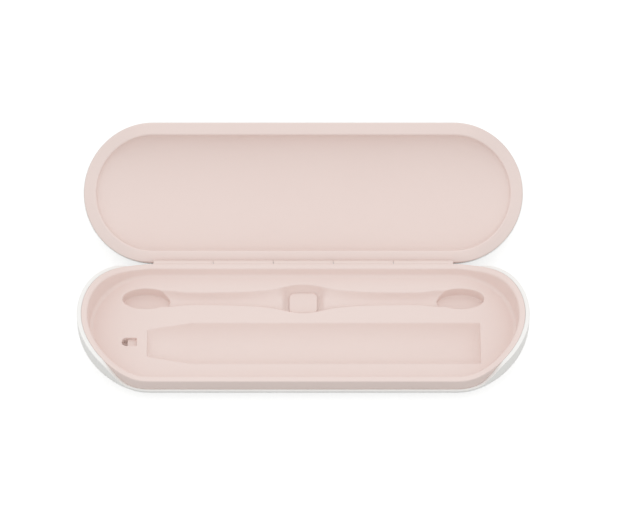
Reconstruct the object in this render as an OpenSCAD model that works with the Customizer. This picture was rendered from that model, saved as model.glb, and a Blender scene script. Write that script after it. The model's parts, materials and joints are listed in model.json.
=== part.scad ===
// Travel case for an electric toothbrush: a base with a fitted tray and a hinged lid.
// Millimetres, +Z up, X along the case, +Y towards the hinge. The origin is the centre of
// the flat underside. The lid is drawn closed and then turned back to its open stop.

/* [Outline] */
// Length over the lid's rim
case_length = 245; // [235:1:255]
// Width over the lid's rim
case_width = 78.4; // [77.4:0.2:80]

/* [Base] */
// Height of the base from its underside to its rim
base_height = 17.5; // [17.5:0.1:19]
// How much of the tray's lip stands out of the base shell in front
lip_height = 8.5; // [8.2:0.1:9]
// How far the lip stands in from the case's outline
lip_inset = 0.9; // [0.7:0.1:1.1]
// How far the base shell bulges past the case's outline
shell_bulge = 1.5; // [1:0.1:1.8]
// Radius of the flat underside at the end caps
foot_radius = 29; // [27:0.5:31]
// Wall of the base shell
base_wall = 2; // [1.6:0.1:2]
// Depth of the tray's surface below the rim
tray_drop = 5.8; // [5:0.1:6]
// Thickness of the tray's surface
tray_plate = 2; // [1.6:0.1:2.2]
// Skin round the tray's recesses
tray_skin = 1.4; // [1:0.1:1.4]

/* [Rising ends] */
// How much higher the rims stand at the ends than along the sides
end_rise = 11; // [8:0.5:12]
// How far past an end cap's centre the rims begin to rise
rise_from = 4.7; // [3:0.1:8]

/* [Handle recess] */
// Radius of the trough for the handle
trough_radius = 14.65; // [14:0.05:15]
// Left end of the trough
trough_left = -85.7; // [-88:0.1:-80]
// Right end of the trough
trough_right = 97.3; // [90:0.1:99]
// Middle line of the trough, measured from the middle of the case
trough_y = -10; // [-11:0.1:-9]
// Height of the trough's lowest line over the underside
trough_floor = 3.5; // [3.4:0.1:4]
// Length over which the trough narrows at its left end
trough_taper = 24; // [20:1:30]
// Radius of the trough at its narrow left end
trough_neck_radius = 10.9; // [10:0.1:12]

/* [Brush head slot] */
// Middle line of the slot, measured from the middle of the case
slot_y = 19; // [18.5:0.1:19.5]
// Half the slot's length
slot_reach = 100; // [96:0.5:102]
// Length of the oval pocket for a head
pocket_length = 26.3; // [24:0.1:28]
// Width of the oval pocket for a head
pocket_width = 13.2; // [12:0.1:14]
// Width of the groove for a neck
groove_width = 7.4; // [7:0.1:8.4]
// Width of the well in the middle of the slot
well_width = 18.6; // [17:0.1:19]
// How much the groove widens on each side towards a pocket
groove_flare = 1.5; // [0.5:0.1:1.8]
// Depth of the pockets and the well
pocket_depth = 6.5; // [5.5:0.1:6.6]
// Depth of the groove for a neck
groove_depth = 4.2; // [3.5:0.1:4.5]
// Length of the divider block between the brush heads
divider_length = 15.6; // [14:0.1:17]
// Width of the divider block
divider_width = 13.4; // [11:0.1:14]
// Height of the divider block
divider_height = 2; // [1.6:0.1:3.5]

/* [Small slot] */
// Left end of the small slot
small_slot_left = -99.7; // [-101:0.1:-97]
// Length of the small slot
small_slot_length = 8.2; // [7:0.1:9]
// Width of the small slot
small_slot_width = 5.2; // [4.6:0.1:6]
// Depth of the small slot's shallow step
small_slot_step = 2; // [1:0.1:3]

/* [Lid] */
// Height of the lid from its rim to its flat top
lid_height = 20.7; // [18:0.1:20.7]
// Height of the lid liner's lip
lid_lip_height = 3; // [2.6:0.1:3.2]
// Width of the lid's flat rim
lid_rim_width = 5.8; // [5.4:0.1:6.2]
// Depth of the lid's bowl below its rim
bowl_depth = 16.6; // [14:0.1:16.8]
// Wall of the lid shell
lid_wall = 1.3; // [1.2:0.1:1.5]
// Wall of the lid liner
liner_wall = 1.1; // [1:0.1:1.3]
// Radius of the flat top at the end caps
top_radius = 28; // [25:0.5:29]

/* [Hinge] */
// How far the lid opens
open_angle = 147; // [90:1:147]
// Length of the hinge
hinge_length = 166; // [140:0.1:166]
// Number of knuckles along the hinge
knuckle_count = 5; // [3:2:9]
// Radius of the hinge barrel
barrel_radius = 1.9; // [1.8:0.05:1.9]
// Diameter of the hinge pin
pin_diameter = 1.5; // [1.2:0.1:1.6]

/* [Magnets] */
// Length of a closure magnet
magnet_length = 15; // [10:1:20]
// Distance of a magnet's middle from the middle of the case
magnet_x = 45; // [30:1:60]

/* [Hidden] */

shell_colour = "#e9e8e6";
liner_colour = "#eed9d2";
steel_colour = "#b9bcc0";

arc_steps = 8;                                   // points on a small rounding of a profile
rim_gap = 0.3;                                   // gap between the rims when the lid is closed
run_gap = 0.35;                                  // gap round the hinge's barrel

half_run = (case_length - case_width) / 2;       // from the middle to the centre of an end cap
outline_radius = case_width / 2;
lip_radius = outline_radius - lip_inset;
shell_radius = outline_radius + shell_bulge;     // base shell at the tips
side_radius = outline_radius + 0.1;              // base shell along the sides
shoulder_z = base_height - lip_height;           // where the lip meets the base shell
edge_z = shoulder_z + 0.4;                       // low edge of the base shell
high_edge = base_height - 0.5 - edge_z;          // how much the edge stands higher at the ends
bulge_z = shoulder_z - 0.6;                      // widest line of the base shell
rise_to = shell_radius;                          // past the cap's centre, where the rise ends
front_edge = [12.7, 26.7];                       // where the edge rises, past the cap's centre
back_edge = [0.7, 20.7];
cap_steps = 28;                                  // steps round one end cap of a shell
tray_z = base_height - tray_drop;
base_rim_width = 3.5;
spigot_inset = 1.7;                              // the tray's spigot goes inside the base shell
spigot_depth = 1.3;
foot_lift = 4;                                   // how much the lip's foot rises to the tips
lip_wall_foot = lip_radius - base_rim_width - 0.55;

trough_axis_z = trough_floor + trough_radius;
pocket_x = slot_reach - pocket_length / 2;       // centre of an oval pocket
pocket_floor = tray_z - pocket_depth;
groove_floor = tray_z - groove_depth;
well_reach = 15.6;                               // half the length over which the well spreads
well_power = 2.3;
well_floor_reach = 10.6;                         // half the length of the well's deep floor
flare_x = 78;                                    // where the groove is widest
flare_spread = 9;
slot_steps = 72;

small_slot_y = trough_y + 0.8;
small_well_length = 3.2;
small_well_depth = 5;

lid_z = base_height + rim_gap;                   // the lid's rim when it is closed
lid_lip_radius = outline_radius - 0.3;
lid_bulge_radius = outline_radius + 0.2;
lid_bulge_z = 7;                                 // widest line of the lid shell over its rim
bowl_radius = lid_lip_radius - lid_rim_width;
bowl_power = 0.8;                                // a full curve across the bowl
bowl_middle = 84;                                // angle where the bowl's curve turns flat
lid_end_rise = end_rise + rim_gap;               // a little more than the base's, to stay clear

axis_y = outline_radius + 0.15;
axis_z = base_height - barrel_radius;
knuckle_gap = 0.3;
knuckle_length = (hinge_length - (knuckle_count - 1) * knuckle_gap) / knuckle_count;
bore_clearance = 0.05;

base_magnet_width = 2;
base_magnet_height = 3;
lid_magnet_width = 3;
lid_magnet_height = 2;
magnet_cover = 0.8;                              // skin between a magnet and its rim
magnet_play = 0.1;                               // a magnet's slot over the magnet
magnet_line = lip_radius - base_rim_width / 2;   // distance of the magnets from the middle

// Points of an arc from one angle to another, round the point at x, y
function arc(x, y, radius, from, to, steps = arc_steps) =
  [for (i = [0 : steps]) let (a = from + (to - from) * i / steps)
    [x + radius * cos(a), y + radius * sin(a)]];

// Points of a squared or lean quarter oval, from its widest line to its flat
function belly(x, y, reach, rise, power, steps) =
  [for (i = [0 : steps]) let (a = 90 * i / steps)
    [x + reach * pow(cos(a), power), y + rise * pow(sin(a), power)]];

function reversed(points) = [for (i = [len(points) - 1 : -1 : 0]) points[i]];

// A share from 0 to 1 that starts and ends softly
function eased(share) = let (t = max(0, min(1, share))) t * t * (3 - 2 * t);

// How much of the full rise there is at a place along the case
function rise_share(x) = eased((abs(x) - half_run - rise_from) / (rise_to - rise_from));

// How much of its leaner shape at the tips the base shell has at a place. It comes sooner
// than the rise.
function tuck_share(x) = let (up = rise_share(x)) up * (2 - up);

// How much of its full height the base shell's edge has over its low edge, at a place
function edge_share(x, y) =
  let (span = y < 0 ? front_edge : back_edge)
  eased((abs(x) - half_run - span[0]) / (span[1] - span[0]));

// Points of a profile with the share of the rise that each takes: all of it at one height,
// none at another
function lifted(points, all_z, none_z) =
  [for (p = points) [p[0], p[1], (none_z - p[1]) / (none_z - all_z), 0, 0, 0]];

// Points of a curve that has one shape along the sides and another at the tips. Its points
// turn from following the rise, at its widest line, to following the tuck, at its foot.
function reshaped(side, tip) =
  [for (i = [0 : len(side) - 1])
    let (tuck = sin(90 * i / (len(side) - 1)), climb = tip[i][1] - side[i][1])
    [side[i][0], side[i][1], climb * (1 - tuck) / end_rise, 0, tip[i][0] - side[i][0],
     climb * tuck]];

// Points once round the case for one point of a profile. It holds the distance out, the
// height, the share of the rise, the share of the raised edge, and how much further out and
// higher it lies in the shape at the tips.
function case_ring(p, rise) =
  [for (side = [1, -1], i = [0 : cap_steps])
    let (
      a = 180 * i / cap_steps - 90 * side,
      x = side * half_run + p[0] * cos(a),
      tuck = tuck_share(x),
      r = p[0] + p[4] * tuck)
    [side * half_run + r * cos(a), r * sin(a),
     p[1] + p[2] * rise * rise_share(x) + p[5] * tuck
     + p[3] * high_edge * edge_share(x, p[0] * sin(a))]];

// A shell whose rims rise at the ends. Its profile runs from the middle of its upper side
// over its edge to the middle of its lower side; both middles are flat.
module rising_shell(profile, rise) {
  ring = 2 * cap_steps + 2;
  rows = len(profile);
  first = [for (i = [ring - 1 : -1 : 0]) i];
  last = [for (i = [0 : ring - 1]) (rows - 1) * ring + i];
  between = [for (k = [0 : rows - 2], i = [0 : ring - 1], half = [0, 1])
    let (j = (i + 1) % ring, upper = k * ring, lower = upper + ring)
    half == 0 ? [upper + i, upper + j, lower + j] : [upper + i, lower + j, lower + i]];
  polyhedron(points = [for (p = profile, q = case_ring(p, rise)) q],
             faces = concat([first, last], between));
}

// Sweeps a profile round the case: x of the profile is the distance out from the line that
// joins the centres of the two end caps, and y is the height
module round_the_case() {
  for (side = [0, 1])
    mirror([side, 0, 0])
      translate([half_run, 0, 0])
        rotate([0, 0, -90])
          rotate_extrude(angle = 180, $fn = 96)
            children();
  rotate([90, 0, 90])
    translate([0, 0, -half_run])
      linear_extrude(2 * half_run) {
        children();
        mirror([1, 0])
          children();
      }
}

// Turns a closed piece of the lid back to the lid's open stop
module opened() {
  translate([0, axis_y, axis_z])
    rotate([-open_angle, 0, 0])
      translate([0, -axis_y, -axis_z])
        children();
}

// Flat shape in the Y-Z plane, drawn out along X and centred there
module along_x(length) {
  rotate([90, 0, 90])
    translate([0, 0, -length / 2])
      linear_extrude(length)
        children();
}

// ---- Base ----

shell_power = 1.2;                               // a lean curve, so the underside tucks in
tip_power_in = 1.3;                              // the same inside, at the tips
shell_gap = 0.2;                                 // room between the lip and the shell round it
ledge_gap = 0.1;                                 // room under the lip's foot

function base_shell_profile() =
  let (
    spread = shell_radius - side_radius,
    foot_in = foot_radius - base_wall,
    ledge_in = lip_radius - spigot_inset + 0.15,
    ledge_z = shoulder_z - ledge_gap,
    ledge_foot = tray_z - tray_plate - spigot_depth - 0.2,
    lip_room = lip_radius + shell_gap,
    reach_in = ledge_in - foot_in,
    depth_in = base_wall - ledge_foot,
    reach = side_radius - foot_radius,
    tip_z = bulge_z + end_rise)
  concat(
    reversed(reshaped(belly(foot_in, ledge_foot, reach_in, depth_in, 1, 6),
                      belly(foot_in, ledge_foot, reach_in, depth_in, tip_power_in, 6))),
    [[ledge_in, ledge_z, 0, 0, 0, foot_lift - ledge_gap],
     [lip_room, ledge_z, 0, 0, 0, foot_lift - ledge_gap],
     [lip_room, edge_z, 1, 1, 0, 0],
     [side_radius - 0.5, edge_z, 1, 1, spread, 0],
     [side_radius - 0.15, edge_z - 0.15, 1, 1, spread, 0],
     [side_radius, edge_z - 0.5, 1, 1, spread, 0]],
    reshaped(belly(foot_radius, bulge_z, reach, -bulge_z, shell_power, 9),
             belly(foot_radius, tip_z, reach + spread, -tip_z, shell_power, 9)));

module base_shell() {
  color(shell_colour)
    rising_shell(base_shell_profile(), end_rise);
}

module tray_profile() {
  rim_in = lip_radius - base_rim_width;
  spigot_out = lip_radius - spigot_inset;
  spigot_in = spigot_out - 1.6;
  plate_z = tray_z - tray_plate;
  foot_round = 2.4;
  tall_z = base_height + end_rise;
  polygon(concat(
    [[0, plate_z], [spigot_in, plate_z], [spigot_in, plate_z - spigot_depth],
     [spigot_out, plate_z - spigot_depth], [spigot_out, shoulder_z], [lip_radius, shoulder_z],
     [lip_radius, tall_z], [rim_in, tall_z], [rim_in, base_height - 1]],
    reversed(arc(lip_wall_foot - foot_round, tray_z + foot_round, foot_round, -90, -6)),
    [[0, tray_z]]));
}

// Everything over the curve of the base's rim, seen from the side
module over_the_rim() {
  reach = half_run + shell_radius;
  far = reach + 5;
  steps = 20;
  right = [for (i = [0 : steps]) let (x = half_run + (reach - half_run) * i / steps)
    [x, base_height + end_rise * rise_share(x)]];
  above = base_height + end_rise + 5;
  translate([0, far, 0])
    rotate([90, 0, 0])
      linear_extrude(2 * far)
        polygon(concat([for (p = reversed(right)) [-p[0], p[1]]], right,
                       [[far, right[steps][1]], [far, above], [-far, above],
                        [-far, right[steps][1]]]));
}

// Room for the base shell's wall, where it turns in under the lip's foot at one end
module under_the_lip(side) {
  steps = 20;
  from = half_run + rise_from;
  far = half_run + shell_radius;
  foot = [for (i = [0 : steps]) let (x = from + (far - from) * i / steps)
    [side * x, shoulder_z - 0.01 + foot_lift * tuck_share(x)]];
  difference() {
    translate([0, far, 0])
      rotate([90, 0, 0])
        linear_extrude(2 * far)
          polygon(concat([[side * from, 0]], foot, [[side * far, 0]]));
    round_the_case()
      square([lip_radius - spigot_inset, base_height + end_rise]);
  }
}

// Half the width of the brush head slot, grown by a margin, at a place along it
function slot_half_width(x, margin) =
  let (
    groove = groove_width / 2,
    well = groove + (well_width / 2 - groove) / (1 + pow(abs(x) / well_reach, well_power))
      + groove_flare / (1 + pow((abs(x) - flare_x) / flare_spread, 4)),
    from_pocket = abs(x) - pocket_x,
    share = from_pocket / (pocket_length / 2 + margin),
    pocket = (pocket_width / 2 + margin) * sqrt(max(0, 1 - share * share)))
  from_pocket > 0 ? pocket : max(well + margin, pocket);

// Outline of the slot, grown by a margin
module slot_outline(margin) {
  reach = slot_reach + margin;
  upper = [for (i = [0 : slot_steps]) let (x = -reach * cos(180 * i / slot_steps))
    [x, slot_half_width(x, margin)]];
  lower = [for (p = reversed(upper)) if (p[1] > 0.001) [p[0], -p[1]]];
  translate([0, slot_y])
    polygon(concat(upper, lower));
}

// Room between two places along the slot, from a floor up to a top
module slot_stretch(from, to, floor_z, top_z) {
  translate([from, slot_y - 20, floor_z])
    cube([to - from, 40, top_z - floor_z]);
}

// The slot: a shallow groove all along, deep oval pockets at its ends and a deep well
module brush_slot(margin = 0) {
  top = tray_z + (margin > 0 ? -tray_plate / 2 : 1);
  deep = pocket_floor - margin;
  far_end = slot_reach + margin + 1;
  inner_end = slot_reach - pocket_length - margin;
  well_end = well_floor_reach + margin;
  intersection() {
    translate([0, 0, deep])
      linear_extrude(top - deep)
        slot_outline(margin);
    union() {
      slot_stretch(-far_end, far_end, groove_floor - margin, top);
      slot_stretch(-far_end, -inner_end, deep, top);
      slot_stretch(-well_end, well_end, deep, top);
      slot_stretch(inner_end, far_end, deep, top);
    }
  }
}

// The trough: a round-bottomed recess that narrows to the left, square at both ends
module trough(margin = 0) {
  taper_x = trough_left + trough_taper;
  translate([taper_x, trough_y, trough_axis_z])
    rotate([0, 90, 0])
      cylinder(h = trough_right - taper_x + margin, r = trough_radius + margin, $fn = 96);
  translate([trough_left - margin, trough_y, trough_axis_z])
    rotate([0, 90, 0])
      cylinder(h = trough_taper + margin, r1 = trough_neck_radius + margin,
               r2 = trough_radius + margin, $fn = 96);
}

// The part of the trough that lies under the tray's surface
module trough_under(top, margin = 0) {
  intersection() {
    trough(margin);
    translate([trough_left - 5, trough_y - 20, 0])
      cube([trough_right - trough_left + 10, 40, top]);
  }
}

// The small slot: a shallow step with a deeper well at its half-round left end
module small_slot(margin = 0) {
  top = tray_z + (margin > 0 ? -tray_plate / 2 : 1);
  end_radius = small_slot_width / 2;
  round = end_radius + margin;
  for (part = [[small_slot_length, small_slot_step], [small_well_length, small_well_depth]])
    translate([small_slot_left + end_radius, small_slot_y, tray_z - part[1] - margin]) {
      height = top - tray_z + part[1] + margin;
      cylinder(h = height, r = round, $fn = 48);
      translate([0, -round, 0])
        cube([part[0] - end_radius + margin, 2 * round, height]);
    }
}

// A bar along the front rim, on the left (-1) or the right (1), between two heights
module rim_bar(side, length, width, from, to) {
  translate([side * magnet_x - length / 2, -magnet_line - width / 2, from])
    cube([length, width, to - from]);
}

module base_magnet(side) {
  top = base_height - magnet_cover;
  rim_bar(side, magnet_length, base_magnet_width, top - base_magnet_height, top);
}

// A magnet's slot, open at the foot of the lip so that the magnet goes in from below
module base_magnet_slot(side) {
  rim_bar(side, magnet_length + magnet_play, base_magnet_width + magnet_play,
          tray_z - tray_plate - 3, base_height - magnet_cover);
}

module base_tray() {
  color(liner_colour)
    difference() {
      union() {
        round_the_case()
          tray_profile();
        brush_slot(tray_skin);
        trough_under(tray_z - tray_plate / 2, tray_skin);
        small_slot(tray_skin);
      }
      over_the_rim();
      brush_slot();
      trough();
      small_slot();
      for (side = [-1, 1]) {
        under_the_lip(side);
        base_magnet_slot(side);
      }
      translate([-hinge_length / 2 - 0.5, axis_y, axis_z])
        rotate([0, 90, 0])
          cylinder(h = hinge_length + 1, r = barrel_radius + run_gap, $fn = 64);
    }
}

// A low block with upright rounded corners and a rounded top edge
module brush_divider() {
  corner = 3;
  edge = 0.8;
  color(liner_colour)
    translate([0, slot_y, pocket_floor])
      hull() {
        for (x = [-1, 1], y = [-1, 1])
          translate([x * (divider_length / 2 - corner), y * (divider_width / 2 - corner), 0])
            rotate_extrude($fn = 32)
              polygon(concat([[0, 0], [corner, 0]],
                             arc(corner - edge, divider_height - edge, edge, 0, 90, 4),
                             [[0, divider_height]]));
      }
}

// ---- Hinge ----

// Middle of a knuckle along the hinge
function knuckle_x(i) = (i - (knuckle_count - 1) / 2) * (knuckle_length + knuckle_gap);

// A leaf: its strip, with every second knuckle, each a barrel on a web of the given shape
module hinge_leaf(first, bore_radius) {
  for (i = [first : 2 : knuckle_count - 1])
    translate([knuckle_x(i), axis_y, axis_z])
      difference() {
        union() {
          rotate([0, 90, 0])
            translate([0, 0, -knuckle_length / 2])
              cylinder(h = knuckle_length, r = barrel_radius, $fn = 64);
          along_x(knuckle_length)
            children(0);
        }
        rotate([0, 90, 0])
          translate([0, 0, -knuckle_length])
            cylinder(h = 2 * knuckle_length, r = bore_radius, $fn = 48);
      }
  translate([0, axis_y, axis_z])
    along_x(hinge_length)
      children(1);
}

// The base leaf lies on the lip's outer face. Its webs bulge out as stops for the open lid.
module base_hinge_leaf() {
  face = lip_radius - axis_y;
  foot = edge_z - axis_z + 0.2;
  color(liner_colour)
    hinge_leaf(0, pin_diameter / 2 + 0.02) {
      polygon([[face, foot], [1.2, foot], [1.55, -3.97], [0.42, -2.23], [0.42, 0], [face, 0]]);
      polygon([[face, foot], [face + 0.8, foot], [face + 0.8, foot + 1.8], [face, foot + 1.8]]);
    }
}

// The lid leaf lies on the outer face of the lid liner's lip
module lid_hinge_leaf() {
  face = lid_lip_radius - axis_y;
  strip_foot = lid_z - axis_z + 0.3;
  top = lid_z - axis_z + 2.4;
  color(liner_colour)
    opened()
      hinge_leaf(1, pin_diameter / 2 + bore_clearance) {
        polygon([[face, 0], [1.6, 0], [1.6, top - 0.6], [1, top], [face, top]]);
        polygon([[face, strip_foot], [face + 1, strip_foot], [face + 1, top], [face, top]]);
      }
}

module hinge_pin() {
  length = hinge_length - 0.4;
  color(steel_colour)
    translate([-length / 2, axis_y, axis_z])
      rotate([0, 90, 0])
        cylinder(h = length, r = pin_diameter / 2, $fn = 48);
}

// ---- Lid ----

lid_belly_power = 0.78;                          // a full curve, so the top is squarer

function lid_shell_profile() =
  let (
    foot_z = lid_z + lid_lip_height + 0.1,
    wide_z = lid_z + lid_bulge_z,
    top_z = lid_z + lid_height,
    under_z = top_z - lid_wall)
  concat(
    lifted(reversed(belly(top_radius, wide_z, lid_bulge_radius - top_radius, top_z - wide_z,
                          lid_belly_power, 10)), foot_z, top_z),
    lifted([[outline_radius, foot_z + 0.3], [outline_radius - 0.3, foot_z],
            [outline_radius - lid_wall, foot_z]], foot_z, top_z),
    lifted(belly(top_radius, wide_z, lid_bulge_radius - lid_wall - top_radius, under_z - wide_z,
                 lid_belly_power, 10), foot_z, under_z));

module lid_shell() {
  color(shell_colour)
    opened()
      rising_shell(lid_shell_profile(), lid_end_rise);
}

// Points across the bowl or its back, from the rim's side to the flat middle
function bowl_curve(radius, foot_z, floor_z) =
  [for (i = [0 : 11]) let (a = bowl_middle * i / 11)
    [radius * pow(cos(a), bowl_power),
     foot_z + (floor_z - foot_z) * pow(sin(a) / sin(bowl_middle), bowl_power)]];

// The liner: a lip and a wide flat rim round a bowl that curves all the way across
function lid_liner_profile() =
  let (
    edge = 1.2,
    lip_top = lid_z + lid_lip_height,
    floor_z = lid_z + bowl_depth,
    inside = bowl_curve(bowl_radius - edge, lid_z + edge, floor_z),
    back = bowl_curve(bowl_radius - edge + liner_wall, lip_top, floor_z + liner_wall))
  concat(
    lifted(reversed(back), lip_top, floor_z + liner_wall),
    lifted([[bowl_radius + liner_wall + 0.2, lip_top], [outline_radius - lid_wall, lip_top],
            [lid_lip_radius, lip_top]], lip_top, floor_z + liner_wall),
    [for (p = reversed(arc(lid_lip_radius - 0.7, lid_z + 0.7, 0.7, -90, 0, 4)))
      [p[0], p[1], 1, 0, 0, 0]],
    [for (p = reversed(arc(bowl_radius, lid_z + edge, edge, 195, 270, 4)))
      [p[0], p[1], 1, 0, 0, 0]],
    lifted(inside, lid_z + edge, floor_z));

module lid_magnet(side) {
  rim = lid_z + magnet_cover;
  rim_bar(side, magnet_length, lid_magnet_width, rim, rim + lid_magnet_height);
}

// A magnet's slot, open at the back of the lip so that the magnet goes in from there
module lid_magnet_slot(side) {
  rim_bar(side, magnet_length + magnet_play, lid_magnet_width + magnet_play,
          lid_z + magnet_cover, lid_z + lid_lip_height + 1);
}

module lid_liner() {
  color(liner_colour)
    opened()
      difference() {
        rising_shell(lid_liner_profile(), lid_end_rise);
        for (side = [-1, 1])
          lid_magnet_slot(side);
      }
}

module base_magnet_left() { color(steel_colour) base_magnet(-1); }
module base_magnet_right() { color(steel_colour) base_magnet(1); }
module lid_magnet_left() { color(steel_colour) opened() lid_magnet(-1); }
module lid_magnet_right() { color(steel_colour) opened() lid_magnet(1); }

base_shell();
base_tray();
brush_divider();
base_hinge_leaf();
hinge_pin();
base_magnet_left();
base_magnet_right();
lid_shell();
lid_liner();
lid_hinge_leaf();
lid_magnet_left();
lid_magnet_right();
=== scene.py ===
# %% [markdown]
# # A travel case for an electric toothbrush, open on a white table
#
# The case is two long round-ended shells with a pale pink lining, joined by a hinge at the back.
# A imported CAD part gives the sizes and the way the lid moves. This file dresses it: it builds a
# finer mesh for every moulding that shows, gives each its finish, and sets the camera and light.
#
# Everything is drawn in millimetres, with the lid closed, because that is how a maker thinks of
# it. One function at the end of the line turns a lid piece to its open place and makes metres.

# %% Load the frame
import json
import math

import bmesh
import bpy
from mathutils import Matrix, Vector


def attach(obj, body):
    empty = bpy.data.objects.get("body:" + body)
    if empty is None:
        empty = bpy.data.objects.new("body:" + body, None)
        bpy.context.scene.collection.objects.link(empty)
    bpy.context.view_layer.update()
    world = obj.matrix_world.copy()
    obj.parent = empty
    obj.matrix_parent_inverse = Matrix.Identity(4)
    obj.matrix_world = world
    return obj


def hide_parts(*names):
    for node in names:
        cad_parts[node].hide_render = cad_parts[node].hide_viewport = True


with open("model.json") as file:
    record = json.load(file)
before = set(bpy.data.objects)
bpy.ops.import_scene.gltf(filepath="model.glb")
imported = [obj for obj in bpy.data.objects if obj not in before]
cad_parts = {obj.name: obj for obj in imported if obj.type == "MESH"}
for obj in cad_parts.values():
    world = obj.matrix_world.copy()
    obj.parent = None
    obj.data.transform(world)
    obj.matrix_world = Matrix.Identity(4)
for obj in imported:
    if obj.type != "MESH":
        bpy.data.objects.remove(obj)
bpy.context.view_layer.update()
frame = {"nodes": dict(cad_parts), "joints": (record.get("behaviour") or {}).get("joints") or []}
hinge = frame["joints"][0]

# %% [markdown]
# ## The sizes that every piece shares
#
# Both halves follow one outline, a stadium: two half circles joined by straight runs. A piece is
# then told by its profile, which is how far out from the line between the two circles' centres
# each point lies, and how high. The case isn't flat at its ends, though: there both rims climb in
# a soft S while the underside and the lid's top stay level. These numbers are the part's own.

# %% Sizes of the case, in millimetres
MM = 0.001                      # metres in a millimetre
HALF_RUN = 83.3                 # from the middle to the centre of an end cap
OUTLINE = 39.2                  # radius of the lid's shell at its foot
LIP = 38.3                      # radius of the base tray's lip
BASE_RIM = 17.5                 # height of the base's rim
SHOULDER = 9.0                  # foot of the tray's lip, where it stands on the base shell
TRAY = 11.7                     # height of the tray's surface
LID_RIM = 17.8                  # height of the lid's rim when the lid is closed
CAP_STEPS = 64                  # steps round one end cap
END_RISE = 11.0                 # how much higher the rims are at the tips
RISE_BEGINS, RISE_ENDS = HALF_RUN + 4.7, HALF_RUN + 40.7    # distances from the middle

axis_y, axis_z = hinge["pos_m"][1] / MM, hinge["pos_m"][2] / MM
open_angle = hinge["range_deg"][1]
to_open = (Matrix.Translation((0, axis_y, axis_z))
           @ Matrix.Rotation(math.radians(-open_angle), 4, "X")
           @ Matrix.Translation((0, -axis_y, -axis_z)))


def rise_at(x):
    """How much higher a rim is at a place along the case than along its sides."""
    share = min(1.0, max(0.0, (abs(x) - RISE_BEGINS) / (RISE_ENDS - RISE_BEGINS)))
    return END_RISE * share * share * (3 - 2 * share)


print(f"hinge line at y {axis_y:.2f}, z {axis_z:.2f} mm; the lid opens {open_angle:.0f} degrees")
print("the rims' rise at 88, 100, 112 and 122 mm:",
      [round(rise_at(x), 2) for x in (88, 100, 112, 122)])


# %% A helper for new objects
def new_object(name, data):
    """An object in the scene that holds a mesh, a lamp or a camera."""
    obj = bpy.data.objects.new(name, data)
    bpy.context.scene.collection.objects.link(obj)
    return obj


# %% [markdown]
# ## The camera
#
# The photograph is taken from high in front with a long lens: the near and the far rim have
# nearly the same width, so there is almost no perspective. A camera 2.5 m away and 57 degrees up
# does the same. At that height it looks straight into the open lid.

# %% The camera
CAMERA_RISE = math.radians(57)
CAMERA_DISTANCE = 2.5
aim = Vector((2.88, 37.6, 17.05)) * MM
away = Vector((0, -math.cos(CAMERA_RISE), math.sin(CAMERA_RISE)))

camera_data = bpy.data.cameras.new("camera")
camera_data.lens = 263.4
camera_data.sensor_width = 36
camera_data.clip_start, camera_data.clip_end = 0.1, 50
camera = new_object("camera", camera_data)
camera.location = aim + away * CAMERA_DISTANCE
camera.rotation_euler = (math.pi / 2 - CAMERA_RISE, 0, 0)
bpy.context.scene.camera = camera
bpy.context.scene.view_settings.view_transform = "Standard"
print("camera at", [round(c, 3) for c in camera.location])

# %% [markdown]
# ## Helpers for colours and nodes
#
# Colours are written as the hex values a designer would read off a sample. The shader wants
# linear light, so one function converts them. A second small function adds any node, with its
# settings and its links, so that a node tree reads as a list of steps. Sums and products are the
# most common steps, so they get a shorter form.

# %% Helpers for colours and nodes
def colour(hex_value):
    """Linear colour with alpha from an sRGB hex value such as #eeddd7."""
    channels = [int(hex_value[i:i + 2], 16) / 255 for i in (1, 3, 5)]
    linear = [c / 12.92 if c <= 0.04045 else ((c + 0.055) / 1.055) ** 2.4 for c in channels]
    return (*linear, 1.0)


def add_node(tree, kind, settings=None, inputs=None):
    """Adds a node. Each input, by name or number, takes a value or another node's output."""
    node = tree.nodes.new(kind)
    for name, value in (settings or {}).items():
        setattr(node, name, value)
    for key, value in (inputs or {}).items():
        if isinstance(value, bpy.types.NodeSocket):
            tree.links.new(value, node.inputs[key])
        else:
            node.inputs[key].default_value = value
    return node


def calc(tree, operation, *values):
    """The result of a math node. Each value is a number or another node's output."""
    node = add_node(tree, "ShaderNodeMath", {"operation": operation}, dict(enumerate(values)))
    return node.outputs[0]


def new_material(name):
    """An empty node material, and its tree."""
    material = bpy.data.materials.new(name)
    material.use_nodes = True
    material.node_tree.nodes.clear()
    return material, material.node_tree


print("pink of the lining, linear:", [round(c, 3) for c in colour("#eeddd7")[:3]])

# %% [markdown]
# ## The table and the light
#
# The case lies on a white sweep under large soft lamps: no hard shadow shows anywhere, and the
# insides shade gently from the walls. A wide lamp overhead and an even pale world do that. The
# world and the floor turn plain white only for the camera and for reflections, so the white
# background adds no light to the case, and the floor still takes its faint shadow.

# %% Light path: is this ray the camera's, a reflection's or a refraction's?
def seen_directly(tree):
    """A factor that is 1 for camera, glossy and transmission rays."""
    path = add_node(tree, "ShaderNodeLightPath")
    glossy = calc(tree, "MAXIMUM", path.outputs["Is Camera Ray"], path.outputs["Is Glossy Ray"])
    return calc(tree, "MAXIMUM", glossy, path.outputs["Is Transmission Ray"])


# %% The world
WORLD_LIGHT = 0.92

world = bpy.data.worlds.new("studio")
world.use_nodes = True
tree = world.node_tree
tree.nodes.clear()
white = colour("#ffffff")
lit = add_node(tree, "ShaderNodeBackground", inputs={"Color": white, "Strength": WORLD_LIGHT})
shown = add_node(tree, "ShaderNodeBackground", inputs={"Color": white, "Strength": 1.0})
mixed = add_node(tree, "ShaderNodeMixShader",
                 inputs={0: seen_directly(tree), 1: lit.outputs[0], 2: shown.outputs[0]})
add_node(tree, "ShaderNodeOutputWorld", inputs={"Surface": mixed.outputs[0]})
bpy.context.scene.world = world

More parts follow.
